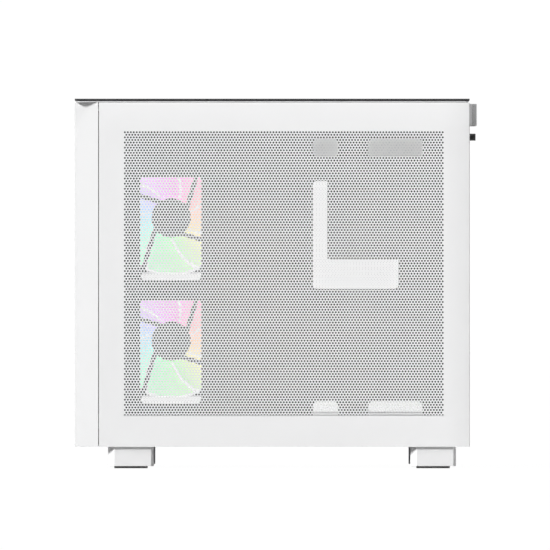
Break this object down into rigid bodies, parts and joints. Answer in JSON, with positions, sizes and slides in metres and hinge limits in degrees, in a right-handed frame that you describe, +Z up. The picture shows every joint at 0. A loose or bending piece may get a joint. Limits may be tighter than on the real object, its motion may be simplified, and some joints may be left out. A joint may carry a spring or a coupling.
{
  "type": "desktop computer tower",
  "caption": "Desktop computer tower with a fine perforated side, glass front, side and smoked top, lit fans behind the perforations, and four block feet.",
  "frame": {"origin": "centre of the bounding box in plan, on the floor under the feet", "axes": "+Z up, the front faces -Y, the perforated side faces +X"},
  "size_m": [0.288, 0.459, 0.421],
  "materials": {
    "white_steel": "fine satin white powder coat",
    "white_plastic": "satin white plastic",
    "white_board": "white solder mask",
    "dark_board": "dark solder mask",
    "dark_plastic": "black plastic",
    "lit_blades": "translucent frosted plastic lit from the hub",
    "clear_glass": "clear tempered glass",
    "smoked_glass": "dark smoked tempered glass",
    "bare_steel": "bright nickel plate",
    "dark_steel": "black nickel, knurled",
    "brass": "bright brass",
    "aluminium": "plain aluminium",
    "rubber": "grey rubber"
  },
  "bodies": {
    "chassis": {"base_frame": "white_steel", "top_frame": "white_steel", "rear_panel": "white_steel", "front_frame": "white_steel", "corner_cover": "white_plastic", "motherboard_tray": "white_steel", "fan_bracket": "white_steel", "drive_plate": "white_steel", "drive_cage": "white_steel", "supply_bracket": "white_steel", "supply_case": "white_steel", "supply_circuit": "dark_board", "supply_fan_frame": "dark_plastic", "supply_inlet": "dark_plastic", "upper_fan_frame": "white_plastic", "lower_fan_frame": "white_plastic", "rear_fan_frame": "white_plastic", "motherboard": "white_board", "io_shield": "bare_steel", "io_ports": "bare_steel", "processor": "bare_steel", "heatsink": "aluminium", "cooler_fan_frame": "white_plastic", "memory_modules": "white_plastic", "graphics_board": "dark_board", "graphics_shroud": "white_plastic", "slot_covers": "white_steel", "standoffs": "brass", "board_screws": "bare_steel", "front_io_board": "dark_board", "front_io_ports": "bare_steel", "foot_front_left": "white_plastic", "foot_front_right": "white_plastic", "foot_rear_left": "white_plastic", "foot_rear_right": "white_plastic", "foot_pads": "rubber"},
    "perforated_side": {"side_panel": "white_steel", "side_panel_studs": "bare_steel"},
    "left_side": {"left_glass": "clear_glass", "left_glass_frame": "white_steel"},
    "front_side": {"front_glass": "clear_glass", "front_glass_frame": "white_steel"},
    "top_panel": {"top_glass": "smoked_glass", "top_panel_frame": "white_steel"},
    "thumbscrew": {"top_thumbscrew": "dark_steel"},
    "upper_rotor": {"upper_fan_rotor": "lit_blades"},
    "lower_rotor": {"lower_fan_rotor": "lit_blades"},
    "rear_rotor": {"rear_fan_rotor": "lit_blades"},
    "cooler_rotor": {"cooler_fan_rotor": "lit_blades"},
    "supply_rotor": {"supply_fan_rotor": "dark_plastic"},
    "graphics_front_rotor": {"graphics_rotor_front": "white_plastic"},
    "graphics_rear_rotor": {"graphics_rotor_rear": "white_plastic"},
    "power_key": {"power_button": "white_plastic"},
    "reset_key": {"reset_button": "white_plastic"},
    "rocker": {"supply_switch": "dark_plastic"},
    "inner_drive": {"drive_tray_inner": "white_plastic", "hard_drive_inner": "aluminium"},
    "outer_drive": {"drive_tray_outer": "white_plastic", "hard_drive_outer": "aluminium"},
    "dust_filter": {"bottom_filter": "white_plastic"}
  },
  "joints": [
    {"name": "side_panel_pull", "type": "slide", "parent": "chassis", "child": "perforated_side", "axis": [1, 0, 0], "range_m": [0, 0.08]},
    {"name": "left_glass_pull", "type": "slide", "parent": "chassis", "child": "left_side", "axis": [-1, 0, 0], "range_m": [0, 0.08]},
    {"name": "front_glass_pull", "type": "slide", "parent": "chassis", "child": "front_side", "axis": [0, -1, 0], "range_m": [0, 0.08]},
    {"name": "top_panel_slide", "type": "slide", "parent": "chassis", "child": "top_panel", "axis": [0, 1, 0], "range_m": [0, 0.06]},
    {"name": "thumbscrew_turn", "type": "hinge", "parent": "top_panel", "child": "thumbscrew", "pos_m": [0, 0.2205, 0.3783], "axis": [0, 1, 0], "continuous": true},
    {"name": "upper_fan_spin", "type": "hinge", "parent": "chassis", "child": "upper_rotor", "pos_m": [0.0528, -0.12, 0.2855], "axis": [-1, 0, 0], "continuous": true},
    {"name": "lower_fan_spin", "type": "hinge", "parent": "chassis", "child": "lower_rotor", "pos_m": [0.0528, -0.12, 0.1445], "axis": [-1, 0, 0], "continuous": true},
    {"name": "rear_fan_spin", "type": "hinge", "parent": "chassis", "child": "rear_rotor", "pos_m": [-0.0723, 0.2103, 0.316], "axis": [0, -1, 0], "continuous": true},
    {"name": "cooler_fan_spin", "type": "hinge", "parent": "chassis", "child": "cooler_rotor", "pos_m": [-0.0483, 0.0853, 0.3], "axis": [0, -1, 0], "continuous": true},
    {"name": "supply_fan_spin", "type": "hinge", "parent": "chassis", "child": "supply_rotor", "pos_m": [0.07, 0.1438, 0.1405], "axis": [-1, 0, 0], "continuous": true},
    {"name": "graphics_front_spin", "type": "hinge", "parent": "chassis", "child": "graphics_front_rotor", "pos_m": [-0.0213, 0.0183, 0.183], "axis": [0, 0, -1], "continuous": true},
    {"name": "graphics_rear_spin", "type": "hinge", "parent": "chassis", "child": "graphics_rear_rotor", "pos_m": [-0.0213, 0.1283, 0.183], "axis": [0, 0, -1], "continuous": true},
    {"name": "power_press", "type": "slide", "parent": "chassis", "child": "power_key", "axis": [0, 1, 0], "range_m": [0, 0.0015], "stiffness_N_per_m": 600},
    {"name": "reset_press", "type": "slide", "parent": "chassis", "child": "reset_key", "axis": [0, 1, 0], "range_m": [0, 0.0015], "stiffness_N_per_m": 400},
    {"name": "rocker_tilt", "type": "hinge", "parent": "chassis", "child": "rocker", "pos_m": [0.08575, 0.2048, 0.151], "axis": [0, 0, 1], "range_deg": [0, 16]},
    {"name": "inner_drive_slide", "type": "slide", "parent": "chassis", "child": "inner_drive", "axis": [0, -1, 0], "range_m": [0, 0.15]},
    {"name": "outer_drive_slide", "type": "slide", "parent": "chassis", "child": "outer_drive", "axis": [0, -1, 0], "range_m": [0, 0.15]},
    {"name": "filter_slide", "type": "slide", "parent": "chassis", "child": "dust_filter", "axis": [0, -1, 0], "range_m": [0, 0.3]}
  ]
}
